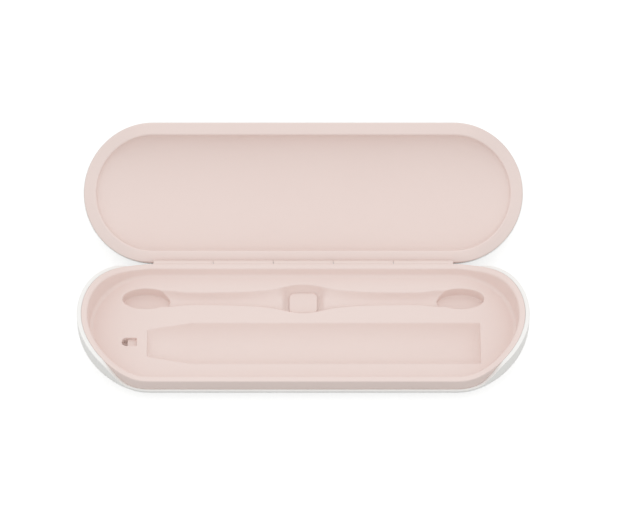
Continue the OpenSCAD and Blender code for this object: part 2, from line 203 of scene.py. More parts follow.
# %% The lamp overhead
lamp_data = bpy.data.lights.new("overhead_softbox", "AREA")
lamp_data.shape = "SQUARE"
lamp_data.size = 1.6
lamp_data.energy = 1.5
lamp = new_object("overhead_softbox", lamp_data)
lamp.location = (0, 0.05, 1.3)
print("softbox", lamp_data.size, "m wide,", lamp_data.energy, "W")

# %% The table top
floor_material, tree = new_material("white_paper_sweep")
paper = add_node(tree, "ShaderNodeBsdfDiffuse", inputs={"Color": colour("#b6b6b5")})
glow = add_node(tree, "ShaderNodeEmission", inputs={"Color": white, "Strength": 0.68})
nothing = add_node(tree, "ShaderNodeEmission", inputs={"Strength": 0.0})
seen_glow = add_node(tree, "ShaderNodeMixShader", inputs={
    0: seen_directly(tree), 1: nothing.outputs[0], 2: glow.outputs[0]})
both = add_node(tree, "ShaderNodeAddShader", inputs={0: paper.outputs[0], 1: seen_glow.outputs[0]})
add_node(tree, "ShaderNodeOutputMaterial", inputs={"Surface": both.outputs[0]})

floor_mesh = bpy.data.meshes.new("table_top")
floor_mesh.from_pydata([(-9, -9, -0.0002), (9, -9, -0.0002), (9, 9, -0.0002), (-9, 9, -0.0002)],
                       [], [(0, 1, 2, 3)])
floor_mesh.materials.append(floor_material)
table_top = new_object("table_top", floor_mesh)
print("table top:", len(floor_mesh.polygons), "face")

# %% [markdown]
# ## The finishes
#
# Every moulding is ABS from a steel mould whose surface was spark eroded, the usual way to get a
# soft matte skin. It scatters highlights into a faint sheen and shows no grain from a step away.
# The real grain is under 0.1 mm, too fine to draw, so the pattern here is 0.4 mm and very weak.
# The resin's colour drifts a little over some centimetres, as it does in a large thin moulding.

# %% A maker for spark-eroded mouldings
def moulded_plastic(name, hex_value, drift_hex, roughness, grain_mm, grain_height_mm):
    """Matte moulded ABS: a colour that drifts a little, and a fine pebbled skin."""
    material, tree = new_material(name)
    place = add_node(tree, "ShaderNodeTexCoord").outputs["Object"]
    drift = add_node(tree, "ShaderNodeTexNoise", inputs={
        "Vector": place, "Scale": 1 / (45 * MM), "Detail": 2.0, "Roughness": 0.5})
    tint = add_node(tree, "ShaderNodeMix", {"data_type": "RGBA"}, {
        "Factor": drift.outputs["Fac"], 6: colour(hex_value), 7: colour(drift_hex)})
    grain = add_node(tree, "ShaderNodeTexNoise", inputs={
        "Vector": place, "Scale": 1 / (grain_mm * MM), "Detail": 3.0, "Roughness": 0.6})
    skin = add_node(tree, "ShaderNodeBump", inputs={
        "Strength": 0.5, "Distance": grain_height_mm * MM, "Height": grain.outputs["Fac"]})
    sheen_patch = add_node(tree, "ShaderNodeMapRange", inputs={
        "Value": grain.outputs["Fac"], "From Min": 0.3, "From Max": 0.7,
        "To Min": roughness - 0.04, "To Max": roughness + 0.05})
    plastic = add_node(tree, "ShaderNodeBsdfPrincipled", inputs={
        "Base Color": tint.outputs[2], "Roughness": sheen_patch.outputs["Result"],
        "IOR": 1.53, "Normal": skin.outputs["Normal"]})
    add_node(tree, "ShaderNodeOutputMaterial", inputs={"Surface": plastic.outputs[0]})
    return material


# %% The pink and white mouldings
# ABS, injection moulded against a spark-eroded cavity: a powdery pink without a clear highlight
lining_abs = moulded_plastic("spark_eroded_pink_abs", "#eeddd7", "#ecdad4", 0.52, 0.4, 0.02)
# The same resin and cavity finish in warm white: it shows form only by soft shading
shell_abs = moulded_plastic("spark_eroded_white_abs", "#f8f7f5", "#f6f5f2", 0.5, 0.4, 0.02)
# The hinge leaves wear against each other, so their mould is polished further: a satin sheen
hinge_abs = moulded_plastic("satin_pink_abs", "#ecdad4", "#ead8d1", 0.38, 0.6, 0.01)
print("plastics:", lining_abs.name, shell_abs.name, hinge_abs.name)


# %% The metals
def plain_metal(name, hex_value, roughness, along, across_mm, along_mm):
    """A metal with fine lines along one axis, 0 for X, from drawing or grinding."""
    material, tree = new_material(name)
    place = add_node(tree, "ShaderNodeTexCoord").outputs["Object"]
    scale = [1 / (across_mm * MM)] * 3
    scale[along] = 1 / (along_mm * MM)
    stretched = add_node(tree, "ShaderNodeMapping", inputs={"Vector": place, "Scale": scale})
    lines = add_node(tree, "ShaderNodeTexNoise", inputs={
        "Vector": stretched.outputs[0], "Scale": 1.0, "Detail": 2.0})
    polish = add_node(tree, "ShaderNodeMapRange", inputs={
        "Value": lines.outputs["Fac"], "To Min": roughness - 0.08, "To Max": roughness + 0.08})
    metal = add_node(tree, "ShaderNodeBsdfPrincipled", inputs={
        "Base Color": colour(hex_value), "Metallic": 1.0, "Roughness": polish.outputs["Result"]})
    add_node(tree, "ShaderNodeOutputMaterial", inputs={"Surface": metal.outputs[0]})
    return material


# Stainless steel wire, drawn through a die: fine lines along the pin
drawn_steel = plain_metal("drawn_stainless_steel", "#c9cacc", 0.3, 0, 0.08, 6)
# Nickel plated bar magnets: a smooth, slightly yellow grey
nickel_plate = plain_metal("nickel_plated_magnet", "#cfcbc2", 0.22, 0, 0.3, 3)
print("metals:", drawn_steel.name, nickel_plate.name)

# %% Finishes for the CAD nodes that stay
metal_of = {"hinge_pin": drawn_steel}
for body in ("base", "lid"):
    for side in ("left", "right"):
        metal_of[f"{body}_magnet_{side}"] = nickel_plate
for node_name, metal in metal_of.items():
    materials = frame["nodes"][node_name].data.materials
    materials.clear()
    materials.append(metal)
print("CAD nodes refinished:", len(metal_of))

# %% [markdown]
# ## From a sketch in millimetres to a finished piece
#
# Each piece ends the same way. Its modifiers are applied, a lid piece is turned to its open
# place, and millimetres become metres in the mesh itself, so the object stays at the origin. A
# closed mesh with its faces outwards has a positive volume, so that is measured and printed.

# %% Finishing a piece
def applied(obj):
    """A mesh of the object as its modifiers make it."""
    depsgraph = bpy.context.evaluated_depsgraph_get()
    return bpy.data.meshes.new_from_object(obj.evaluated_get(depsgraph), depsgraph=depsgraph)


def mesh_from(built, name):
    """A mesh of what was built one by one in bmesh. What was built is given free."""
    mesh = bpy.data.meshes.new(name)
    built.to_mesh(mesh)
    built.free()
    return mesh


def shade_smooth(built, sharp_degrees):
    """Smooth shading, but for edges that turn by more than an angle."""
    for face in built.faces:
        face.smooth = True
    for edge in built.edges:
        edge.smooth = edge.calc_face_angle(0) < math.radians(sharp_degrees)


def finish_piece(obj, body, node_name, on_lid=False, finish=None):
    """Applies the modifiers, puts the mesh in its place and hands the piece to the frame."""
    mesh = applied(obj)
    obj.modifiers.clear()
    obj.data = mesh
    if on_lid:
        mesh.transform(to_open)
    mesh.transform(Matrix.Scale(MM, 4))
    if finish:
        mesh.materials.clear()
        mesh.materials.append(finish)
    measured = bmesh.new()
    measured.from_mesh(mesh)
    volume = measured.calc_volume(signed=True) / MM ** 3
    open_edges = sum(1 for e in measured.edges if not e.is_manifold)
    triangles = sum(len(f.verts) - 2 for f in measured.faces)
    measured.free()
    print(f"{obj.name}: {triangles} triangles, {volume / 1000:.1f} cm3, {open_edges} open edges")
    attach(obj, body)
    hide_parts(node_name)


# %% [markdown]
# ## One rule for three mouldings: a profile swept round the case
#
# The base shell, the lid shell and the lid's lining each follow one profile all the way round. A
# Geometry Nodes tree can follow that rule from the profile alone: it lays out a grid with one
# column for each step round the outline and one row for each point of the profile, and moves
# every grid point to its place. Each point of the profile also carries four attributes: its
# share of the rise at the ends, its share of the white shell's raised edge, and how much further
# out and higher it lies in the leaner shape at the tips. Curve to Mesh would also sweep a
# profile, but every section would be the same, and here they change towards the ends.

# %% How every Geometry Nodes tree begins and ends
def new_tree(name, shape_in, values_in, shape_out):
    """A tree that takes one shape and named values and gives another shape. Returns both ends."""
    tree = bpy.data.node_groups.new(name, "GeometryNodeTree")
    tree.interface.new_socket(shape_in, in_out="INPUT", socket_type="NodeSocketGeometry")
    for label, kind, value in values_in:
        socket = tree.interface.new_socket(label, in_out="INPUT", socket_type="NodeSocket" + kind)
        if value is not None:
            socket.default_value = value
    tree.interface.new_socket(shape_out, in_out="OUTPUT", socket_type="NodeSocketGeometry")
    return tree, add_node(tree, "NodeGroupInput").outputs


def end_tree(tree, geometry, finish):
    """Makes plain meshes of any copies, paints them and gives them out."""
    plain = add_node(tree, "GeometryNodeRealizeInstances", inputs={"Geometry": geometry})
    painted = add_node(tree, "GeometryNodeSetMaterial",
                       inputs={"Geometry": plain.outputs[0], "Material": finish})
    add_node(tree, "NodeGroupOutput", inputs={0: painted.outputs[0]})


# %% The tree that sweeps a profile round the case
FRONT_EDGE = (HALF_RUN + 12.7, HALF_RUN + 26.7)     # where the white edge climbs, in front
BACK_EDGE = (HALF_RUN + 0.7, HALF_RUN + 20.7)
PROFILE_ATTRIBUTES = ("rise_share", "edge_share", "spread", "hoist")


def build_sweep_tree():
    tree, given = new_tree("sweep_round_the_case", "Profile", (
        ("Half run", "Float", HALF_RUN), ("Steps round a cap", "Int", CAP_STEPS),
        ("End rise", "Float", END_RISE), ("High edge", "Float", 0.0),
        ("Sharp angle", "Float", math.radians(32)), ("Finish", "Material", None)), "Moulding")

    # One column for each step round both caps, and one more to close the ring
    count = add_node(tree, "GeometryNodeAttributeDomainSize", {"component": "MESH"},
                     {0: given["Profile"]}).outputs["Point Count"]
    ring = calc(tree, "MULTIPLY_ADD", given["Steps round a cap"], 2.0, 2.0)
    columns = calc(tree, "ADD", ring, 1.0)
    grid = add_node(tree, "GeometryNodeMeshGrid",
                    inputs={"Vertices X": columns, "Vertices Y": count}).outputs["Mesh"]

    # Which column and row a grid point is in
    index = add_node(tree, "GeometryNodeInputIndex").outputs[0]
    middle = calc(tree, "ADD", index, 0.5)
    share = calc(tree, "DIVIDE", middle, count)
    column = calc(tree, "FLOOR", share)
    row = calc(tree, "MODULO", index, count)
    place = calc(tree, "MODULO", column, ring)

    # The second half of the columns goes round the left cap
    last_right = calc(tree, "ADD", given["Steps round a cap"], 0.5)
    left = calc(tree, "GREATER_THAN", place, last_right)
    step = calc(tree, "SUBTRACT", place, left)
    turn = calc(tree, "DIVIDE", step, given["Steps round a cap"])
    angle = calc(tree, "MULTIPLY_ADD", turn, math.pi, -math.pi / 2)

    # The profile's X is the distance out from the cap's centre, and its Z the height
    def taken(data_type, value):
        """A value of the profile's point that this row stands for."""
        return add_node(tree, "GeometryNodeSampleIndex", {"data_type": data_type, "clamp": True}, {
            "Geometry": given["Profile"], "Value": value.outputs[0], "Index": row}).outputs[0]

    point = taken("FLOAT_VECTOR", add_node(tree, "GeometryNodeInputPosition"))
    parts = add_node(tree, "ShaderNodeSeparateXYZ", inputs={0: point}).outputs
    shares = {name: taken("FLOAT", add_node(tree, "GeometryNodeInputNamedAttribute",
                                            {"data_type": "FLOAT"}, {"Name": name}))
              for name in PROFILE_ATTRIBUTES}
    sine = calc(tree, "SINE", angle)
    cosine = calc(tree, "COSINE", angle)
    side = calc(tree, "MULTIPLY_ADD", left, -2.0, 1.0)
    centre = calc(tree, "MULTIPLY", side, given["Half run"])

    # How far the rims have risen at this place, and how far the shell's edge has
    level_x = calc(tree, "MULTIPLY_ADD", parts["X"], cosine, centre)
    along = calc(tree, "ABSOLUTE", level_x)
    climbs = [add_node(tree, "ShaderNodeMapRange", {"interpolation_type": "SMOOTHSTEP"},
                       {"Value": along, "From Min": begins, "From Max": ends}).outputs["Result"]
              for begins, ends in ((RISE_BEGINS, RISE_ENDS), BACK_EDGE, FRONT_EDGE)]
    in_front = calc(tree, "LESS_THAN", sine, 0.0)
    edge = add_node(tree, "ShaderNodeMix", {"data_type": "FLOAT"},
                    {0: in_front, 2: climbs[1], 3: climbs[2]}).outputs[0]
    rise = calc(tree, "MULTIPLY", climbs[0], given["End rise"])
    edge_rise = calc(tree, "MULTIPLY", edge, given["High edge"])
    risen = calc(tree, "MULTIPLY_ADD", shares["rise_share"], rise, parts["Z"])
    edged = calc(tree, "MULTIPLY_ADD", shares["edge_share"], edge_rise, risen)

    # The leaner shape of the tips comes sooner than the rise: u (2 - u)
    rest = calc(tree, "SUBTRACT", 2.0, climbs[0])
    tuck = calc(tree, "MULTIPLY", climbs[0], rest)
    z = calc(tree, "MULTIPLY_ADD", shares["hoist"], tuck, edged)
    out = calc(tree, "MULTIPLY_ADD", shares["spread"], tuck, parts["X"])
    x = calc(tree, "MULTIPLY_ADD", out, cosine, centre)
    y = calc(tree, "MULTIPLY", out, sine)
    target = add_node(tree, "ShaderNodeCombineXYZ", inputs={"X": x, "Y": y, "Z": z})
    swept = add_node(tree, "GeometryNodeSetPosition",
                     inputs={"Geometry": grid, "Position": target.outputs[0]})

    # Points that fell together close the ring and the middle line
    closed = add_node(tree, "GeometryNodeMergeByDistance",
                      inputs={"Geometry": swept.outputs[0], "Distance": 0.002})
    edge_angle = add_node(tree, "GeometryNodeInputMeshEdgeAngle").outputs["Unsigned Angle"]
    is_sharp = calc(tree, "GREATER_THAN", edge_angle, given["Sharp angle"])
    smooth = add_node(tree, "GeometryNodeSetShadeSmooth", {"domain": "FACE"},
                      {"Geometry": closed.outputs[0], "Shade Smooth": True})
    creased = add_node(tree, "GeometryNodeSetShadeSmooth", {"domain": "EDGE"},
                       {"Geometry": smooth.outputs[0], "Selection": is_sharp,
                        "Shade Smooth": False})
    end_tree(tree, creased.outputs[0], given["Finish"])
    return tree


sweep_tree = build_sweep_tree()
print("sweep tree:", len(sweep_tree.nodes), "nodes")


# %% Using the tree on a profile
def set_inputs(modifier, values):
    """Sets a Geometry Nodes modifier's inputs. Each is found by name and set by identifier."""
    for item in modifier.node_group.interface.items_tree:
        if item.in_out == "INPUT" and item.name in values:
            modifier[item.identifier] = values[item.name]


def settle_normals(obj):
    """Large flat faces keep their own normal, so a small rounding beside them shades cleanly."""
    modifier = obj.modifiers.new("weighted normals", "WEIGHTED_NORMAL")
    modifier.keep_sharp = True


def swept_moulding(name, profile, end_rise, high_edge, finish):
    """A moulding that follows one profile all the way round.

    A point of the profile is (distance out, height, rise share, edge share, spread, hoist)."""
    mesh = bpy.data.meshes.new(name)
    links = [(i, i + 1) for i in range(len(profile) - 1)]
    mesh.from_pydata([(p[0], 0, p[1]) for p in profile], links, [])
    for column, attribute in enumerate(PROFILE_ATTRIBUTES, 2):
        values = mesh.attributes.new(attribute, "FLOAT", "POINT").data
        for value, point in zip(values, profile):
            value.value = point[column]
    obj = new_object(name, mesh)
    modifier = obj.modifiers.new("sweep", "NODES")
    modifier.node_group = sweep_tree
    set_inputs(modifier, {"End rise": end_rise, "High edge": high_edge, "Finish": finish})
    settle_normals(obj)
    return obj


def level(points):
    """Profile points that keep their height all the way round."""
    return [(r, z, 0, 0, 0, 0) for r, z in points]


def lifted(points, all_z, none_z):
    """Profile points that take all of the rise at one height and none of it at another."""
    return [(r, z, (none_z - z) / (none_z - all_z), 0, 0, 0) for r, z in points]


def reshaped(side, tip):
    """Profile points of a curve that has one shape along the sides and another at the tips.

    They turn from following the rise, at its widest line, to following the tuck, at its foot."""
    points = []
    for i, ((r, z), (tip_r, tip_z)) in enumerate(zip(side, tip)):
        tuck = math.sin(math.pi / 2 * i / (len(side) - 1))
        climb = tip_z - z
        points.append((r, z, climb * (1 - tuck) / END_RISE, 0, tip_r - r, climb * tuck))
    return points


# %% Curves that the profiles are made of
def arc(x, y, radius, start, end, steps=10):
    """Points of an arc round x, y, between two angles in degrees."""
    angles = [math.radians(start + (end - start) * i / steps) for i in range(steps + 1)]
    return [(x + radius * math.cos(a), y + radius * math.sin(a)) for a in angles]


def belly(x, y, reach, rise, power, steps=40):
    """A quarter oval from its widest line to its flat. A power under 1 makes it squarer."""
    angles = [math.pi / 2 * i / steps for i in range(steps + 1)]
    return [(x + reach * max(0.0, math.cos(a)) ** power, y + rise * math.sin(a) ** power)
            for a in angles]


# %% [markdown]
# ## The base shell
#
# The outer half of the base is a shallow white dish. It stands on a flat, and turns up in a full
# curve to its widest line, which climbs towards the ends with the rim. Along the front and the
# back its edge stays low, so the pink lip shows above it. Round the ends the edge climbs to the
# rim, and the lip disappears behind it.

# %% The base shell
BASE_WALL = 2.0
FOOT_RADIUS = 29.0
EDGE_Z = SHOULDER + 0.4                 # the shell's low edge
HIGH_EDGE = 7.6                         # how much of the lip it covers at the ends
BULGE = SHOULDER - 0.6                  # its widest line
SIDE_RADIUS, TIP_RADIUS = 39.3, 40.7
LEDGE = LIP - 1.55                      # the tray's spigot goes inside this ledge
LEDGE_FOOT = 8.2
FOOT_LIFT = 3.9                         # how much the ledge rises to the tips
EDGE_ROUND = 0.5
EDGE_GAP = 0.08                         # between the shell's edge and the lip
LEDGE_DROP = 0.1                        # between the ledge and the lip's foot
OUTSIDE_POWER = 1.2                     # 1 is a true oval, and more is leaner
INSIDE_POWER, INSIDE_TIP_POWER = 1.0, 1.3


def quarter(inner, outer, foot_z, wide_z, power, steps=30):
    """A quarter oval from its widest line down to its foot."""
    return belly(inner, wide_z, outer - inner, foot_z - wide_z, power, steps)


outside = reshaped(quarter(FOOT_RADIUS, SIDE_RADIUS, 0, BULGE, OUTSIDE_POWER),
                   quarter(FOOT_RADIUS, TIP_RADIUS, 0, BULGE + END_RISE, OUTSIDE_POWER))
inside_foot = FOOT_RADIUS - BASE_WALL
inside = reshaped(quarter(inside_foot, LEDGE, BASE_WALL, LEDGE_FOOT, INSIDE_POWER),
                  quarter(inside_foot, LEDGE, BASE_WALL, LEDGE_FOOT, INSIDE_TIP_POWER))
edge = [(r, z, 1, 1, TIP_RADIUS - SIDE_RADIUS, 0)
        for r, z in arc(SIDE_RADIUS - EDGE_ROUND, EDGE_Z - EDGE_ROUND, EDGE_ROUND, 0, 90, 6)]
ledge = [(LIP + EDGE_GAP, EDGE_Z, 1, 1, 0, 0),
         (LIP + EDGE_GAP, SHOULDER - LEDGE_DROP, 0, 0, 0, FOOT_LIFT),
         (LEDGE, SHOULDER - LEDGE_DROP, 0, 0, 0, FOOT_LIFT)]
base_shell_profile = (level([(0, 0)]) + outside[::-1] + edge + ledge + inside
                      + level([(0, BASE_WALL)]))
base_shell = swept_moulding("base_shell_moulding", base_shell_profile, END_RISE, HIGH_EDGE,
                            shell_abs)
finish_piece(base_shell, "base", "base_shell")

# %% [markdown]
# ## The lid shell
#
# The lid's outer half is deeper and fuller: its side stands nearly straight and turns over to a
# flat back, on which the open lid leans almost down to the table. Its edge gives way to the
# base's raised ends, so the lid is only half as deep there. Its rise is a little larger than the
# base's, which keeps the rims apart when the lid is closed.

# %% The lid shell
LID_WALL = 1.3
LID_TOP = LID_RIM + 20.7
LID_WIDE = LID_RIM + 7
LID_BULGE = OUTLINE + 0.17
LID_FLAT = 28.0
LID_POWER = 0.78
LID_CHAMFER = 0.3
LID_END_RISE = END_RISE + 0.3
lid_foot = LID_RIM + 3.1
lid_inside = (belly(LID_FLAT, LID_WIDE, LID_BULGE - LID_WALL - LID_FLAT,
                    LID_TOP - LID_WALL - LID_WIDE, LID_POWER)[::-1]
              + [(OUTLINE - LID_WALL, lid_foot)])
lid_outside = ([(OUTLINE - LID_CHAMFER, lid_foot), (OUTLINE, lid_foot + LID_CHAMFER)]
               + belly(LID_FLAT, LID_WIDE, LID_BULGE - LID_FLAT, LID_TOP - LID_WIDE, LID_POWER))
lid_shell_profile = (level([(0, LID_TOP - LID_WALL)])
                     + lifted(lid_inside, lid_foot, LID_TOP - LID_WALL)
                     + lifted(lid_outside, lid_foot, LID_TOP)
                     + level([(0, LID_TOP)]))
lid_shell = swept_moulding("lid_shell_moulding", lid_shell_profile, LID_END_RISE, 0.0, shell_abs)
finish_piece(lid_shell, "lid", "lid_shell", on_lid=True)

# %% [markdown]
# ## The lid's lining
#
# A wide flat rim runs round a shallow bowl. The bowl has no flat floor: it curves all the way
# across, which is why it shades from dark under the far rim to bright near the hinge. A squared
# oval gives that curve.

# %% The lid's lining
LINING_WALL = 1.1
LID_LIP = OUTLINE - 0.3
BOWL = LID_LIP - 5.8
BOWL_DEPTH = 16.6
BOWL_EDGE = 1.2
BOWL_POWER = 0.8
BOWL_STEPS = 56
LINING_ROUND = 0.7
bowl_foot = LID_RIM + BOWL_EDGE
bowl_floor = LID_RIM + BOWL_DEPTH
lip_top = LID_RIM + 3
bowl_inside = belly(0, bowl_foot, BOWL - BOWL_EDGE, bowl_floor - bowl_foot,
                    BOWL_POWER, BOWL_STEPS)
bowl_back = belly(0, lip_top, BOWL - BOWL_EDGE + LINING_WALL,
                  bowl_floor + LINING_WALL - lip_top, BOWL_POWER, BOWL_STEPS)
lid_rim = (arc(BOWL, LID_RIM + BOWL_EDGE, BOWL_EDGE, 180, 270)[1:]
           + arc(LID_LIP - LINING_ROUND, LID_RIM + LINING_ROUND, LINING_ROUND, -90, 0)
           + [(LID_LIP, lip_top), (OUTLINE - LID_WALL, lip_top),
              (BOWL + LINING_WALL + 0.2, lip_top)])
lid_lining_profile = (lifted(bowl_inside[::-1], bowl_foot, bowl_floor)
                      + [(r, z, 1, 0, 0, 0) for r, z in lid_rim]
                      + lifted(bowl_back[1:], lip_top, bowl_floor + LINING_WALL))
lid_lining = swept_moulding("lid_lining_moulding", lid_lining_profile, LID_END_RISE, 0.0,
                            lining_abs)
finish_piece(lid_lining, "lid", "lid_liner", on_lid=True)

# %% [markdown]
# ## The tray
#
# The lining of the base does the work: a lip and rim all round, a flat floor below it, a long
# trough for the handle, a slot for two brush heads end to end, and a small slot at the left.
# Booleans would cut all these in a few lines, but they leave long thin triangles whose shading
# breaks up on such a plain surface. So the tray's faces are laid out one by one: the floor is three
# large faces whose borders are the outlines of the recesses, and each recess is lofted down from
# its own outline. A wall thickness is added below, and then every marked edge is rounded. The CAD
# tray also has a groove along its back lip where the hinge's barrels turn. It is left out here,
# so the lid's barrels stand 0.85 mm in the lip.

# %% The slot's outline
SLOT_Y = 19.0
SLOT_REACH = 100.0
POCKET_A, POCKET_B = 13.15, 6.6         # half length and half width of an oval pocket
POCKET_X = SLOT_REACH - POCKET_A
POCKET_DEPTH = 6.5
GROOVE_DEPTH = 4.2
NECK_HALF = 3.7                         # half the slot's width for a brush head's neck
MIDDLE_EXTRA, MIDDLE_REACH, MIDDLE_POWER = 5.6, 15.6, 2.3       # how it widens by the divider
MOUTH_EXTRA, MOUTH_X, MOUTH_REACH, MOUTH_POWER = 1.5, 78.0, 9.0, 4      # and by a pocket


def slot_half_width(x):
    """Half the slot's width: narrow for the necks, wide in the middle and near the pockets."""
    middle = MIDDLE_EXTRA / (1 + (abs(x) / MIDDLE_REACH) ** MIDDLE_POWER)
    mouth = MOUTH_EXTRA / (1 + ((abs(x) - MOUTH_X) / MOUTH_REACH) ** MOUTH_POWER)
    return NECK_HALF + middle + mouth


def pocket_edge(y):
    """How far from the case's middle the pocket's inner edge lies, at a distance off its axis."""
    return POCKET_X - POCKET_A * math.sqrt(max(0.0, 1 - (y / POCKET_B) ** 2))


def middle_share(x, reach, run):
    """1 by the divider, falling to 0 at a reach from it, over the last run of the way."""
    t = min(1.0, max(0.0, (reach - abs(x)) / run))
    return t * t * (3 - 2 * t)


print("slot half width at the middle, neck and pocket:",
      [round(slot_half_width(x), 2) for x in (0, 50, 79)])

# %% The tray's mesh under construction, and its rounded edges
tray = bmesh.new()
round_edge = tray.edges.layers.float.new("bevel_weight_edge")
FULL_ROUND = 1.2                        # rounding in mm of an edge whose weight is 1


def tray_ring(points):
    return [tray.verts.new(p) for p in points]


def tray_strip(upper, lower, closed=True):
    """Faces between two rows of points. Seen from the side that shows, lower is on the right."""
    last = len(upper) if closed else len(upper) - 1
    for i in range(last):
        j = (i + 1) % len(upper)
        tray.faces.new((upper[i], lower[i], lower[j], upper[j]))


def mark_round(row, radius_mm, closed=True):
    """The edges along a row of points are to be rounded by so much."""
    last = len(row) if closed else len(row) - 1
    for i in range(last):
        edge = tray.edges.get((row[i], row[(i + 1) % len(row)]))
        edge[round_edge] = radius_mm / FULL_ROUND


# %% The lip, the rim and the wall down to the floor
def stadium(radius, z, lift=None):
    """Points round the case, counterclockwise from the front end of the right cap."""
    points = []
    for side in (1, -1):
        for i in range(CAP_STEPS + 1):
            a = math.pi * (i / CAP_STEPS - 0.5) + (math.pi if side < 0 else 0)
            x = side * HALF_RUN + radius * math.cos(a)
            points.append((x, radius * math.sin(a), z + (lift(x) if lift else 0.0)))
    return points


RIM_WIDTH = 3.5
OUTER_ROUND, INNER_ROUND, FOOT_ROUND = 0.7, 1, 2.4
WALL_FOOT = LIP - RIM_WIDTH - 0.55
LIP_FOOT_LIFT = 4.0
rim_top = (arc(LIP - OUTER_ROUND, BASE_RIM - OUTER_ROUND, OUTER_ROUND, 0, 90, 8)
           + arc(LIP - RIM_WIDTH + INNER_ROUND, BASE_RIM - INNER_ROUND, INNER_ROUND, 90, 172, 8))
wall_foot = arc(WALL_FOOT - FOOT_ROUND, TRAY + FOOT_ROUND, FOOT_ROUND, -6, -90, 10)


def foot_lift(x):
    """The lip's foot rises too, so that the white shell can turn in under it at the ends."""
    up = rise_at(x) / END_RISE
    return LIP_FOOT_LIFT * up * (2 - up)


rings = ([tray_ring(stadium(LIP, SHOULDER, foot_lift))]
         + [tray_ring(stadium(r, z, rise_at)) for r, z in rim_top]
         + [tray_ring(stadium(r, z)) for r, z in wall_foot])
for outer, inner in zip(rings, rings[1:]):
    tray_strip(inner, outer)
floor_edge = rings[-1]
print("rim:", len(rings), "rings of", len(floor_edge), "points")

# %% [markdown]
# The trough is a lying cylinder cut off by the floor, so a section is an arc. Towards the left
# the arc gets smaller. Both ends are upright walls that turn into the trough's bottom in a soft
# sweep, larger where the trough is deeper.

# %% The handle's trough
TROUGH_Y = -10.0
TROUGH_LEFT, TROUGH_RIGHT = -85.7, 97.3
TROUGH_RADIUS, TROUGH_NECK = 14.65, 10.9
TROUGH_TAPER = 24.0
TROUGH_FLOOR = 3.5
TROUGH_AXIS_Z = TROUGH_FLOOR + TROUGH_RADIUS
END_SWEEP = 4.0                         # rounding at the foot of an end wall, at the deepest line
ARC_STEPS = 28


def trough_radius(x):
    share = min(1.0, (x - TROUGH_LEFT) / TROUGH_TAPER)
    return TROUGH_NECK + (TROUGH_RADIUS - TROUGH_NECK) * share


def trough_section(x):
    """A row of points across the trough at x, from its back edge to its front edge."""
    radius = trough_radius(x)
    half_angle = math.acos((TROUGH_AXIS_Z - TRAY) / radius)
    deepest = TRAY - (TROUGH_AXIS_Z - radius)
    from_end = min(x - TROUGH_LEFT, TROUGH_RIGHT - x)
    row = []
    for i in range(ARC_STEPS + 1):
        a = half_angle * (1 - 2 * i / ARC_STEPS)
        z = TROUGH_AXIS_Z - radius * math.cos(a)
        sweep = END_SWEEP * (TRAY - z) / deepest
        if from_end < sweep:
            z += sweep - math.sqrt(max(0.0, sweep ** 2 - (sweep - from_end) ** 2))
        row.append((x, TROUGH_Y + radius * math.sin(a), z))
    return row


end_steps = [END_SWEEP * (1 - math.cos(math.pi / 2 * i / 9)) for i in range(10)]
stations = ([TROUGH_LEFT + t for t in end_steps]
            + [TROUGH_LEFT + 8, TROUGH_LEFT + 16, TROUGH_LEFT + TROUGH_TAPER, -30, 0, 30, 60, 85]
            + [TROUGH_RIGHT - t for t in reversed(end_steps)])
trough_rows = [tray_ring(trough_section(x)) for x in stations]
for left_row, right_row in zip(trough_rows, trough_rows[1:]):
    tray_strip(right_row, left_row, closed=False)
trough_mid_left = tray.verts.new((TROUGH_LEFT, TROUGH_Y, TRAY))
trough_mid_right = tray.verts.new((TROUGH_RIGHT, TROUGH_Y, TRAY))
tray.faces.new([trough_mid_left] + trough_rows[0][::-1])
tray.faces.new([trough_mid_right] + trough_rows[-1])
trough_back = [row[0] for row in trough_rows]
trough_front = [row[-1] for row in trough_rows]
print("trough:", len(stations), "sections of", ARC_STEPS + 1, "points")

# %% [markdown]
# The brush-head slot is one loft from pocket to pocket. Its section is a U that is round for the
# necks and squarer and deeper beside the divider. Its last rows follow the ovals of the pockets,
# so that the pockets can use the same points and nothing is left open.

# %% The groove between the pockets
across = [1, 0.93, 0.86, 0.78, 0.69, 0.59, 0.48, 0.36, 0.24, 0.12, 0]
across = across + [-s for s in across[-2::-1]]
GROOVE_STEPS = 144
WELL_REACH, WELL_RUN = 11.9, 2.6        # where the slope out of the deep part ends, its length
SQUARE_REACH, SQUARE_RUN = 14.5, 4.5    # the same for the squarer section
ROUND_POWER, SQUARE_POWER = 2.6, 6.0


def groove_end(s):
    """Where the line at share s of the half width meets the pocket's oval, found by half steps."""
    x = POCKET_X - POCKET_A * 0.6       # a first guess
    for _ in range(60):
        x = 0.5 * x + 0.5 * pocket_edge(s * slot_half_width(x))
    return x


def groove_point(share_along, s):
    x = share_along * groove_end(s)
    depth = (GROOVE_DEPTH
             + (POCKET_DEPTH - GROOVE_DEPTH) * middle_share(x, WELL_REACH, WELL_RUN))
    squareness = (ROUND_POWER
                  + (SQUARE_POWER - ROUND_POWER) * middle_share(x, SQUARE_REACH, SQUARE_RUN))
    return (x, SLOT_Y + s * slot_half_width(x), TRAY - depth * (1 - abs(s) ** squareness))


groove_rows = [tray_ring([groove_point(2 * i / GROOVE_STEPS - 1, s) for s in across])
               for i in range(GROOVE_STEPS + 1)]
for left_row, right_row in zip(groove_rows, groove_rows[1:]):
    tray_strip(right_row, left_row, closed=False)
groove_back = [row[0] for row in groove_rows]
groove_front = [row[-1] for row in groove_rows]
print("groove:", len(groove_rows), "rows of", len(across), "points, from",
      round(groove_rows[0][0].co.x, 1), "to", round(groove_rows[-1][0].co.x, 1))

# %% The oval pockets
POCKET_STEPS = 40
FOOT_SHARE_X, FOOT_SHARE_Y = 0.965, 0.95        # the pocket's floor as a share of its outline


